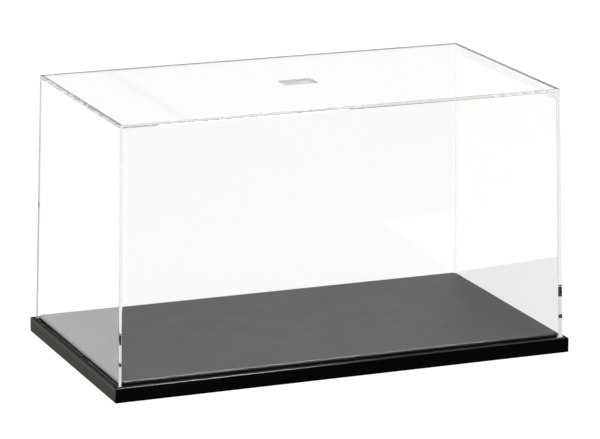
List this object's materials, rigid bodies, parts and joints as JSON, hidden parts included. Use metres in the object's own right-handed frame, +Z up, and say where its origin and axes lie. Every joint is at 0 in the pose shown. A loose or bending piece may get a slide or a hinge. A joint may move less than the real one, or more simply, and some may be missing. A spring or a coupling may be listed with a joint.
{
  "type": "display case",
  "caption": "Rectangular display case for a scale model: a clear one-piece box cover stands on the ledge of a low black ribbed base with a raised deck.",
  "frame": {"origin": "on the table, under the middle of the case", "axes": "+Z up, +X along the long side, +Y towards the back"},
  "size_m": [0.245, 0.137, 0.137],
  "materials": {
    "base_plastic": "black moulded polystyrene, semi-gloss",
    "clear_plastic": "clear moulded acrylic, polished"
  },
  "bodies": {
    "base": {"base": "base_plastic"},
    "cover": {"clear_cover": "clear_plastic"}
  },
  "joints": [
    {"name": "cover_lift", "type": "slide", "parent": "base", "child": "cover", "axis": [0, 0, 1], "range_m": [0, 0.135]}
  ]
}
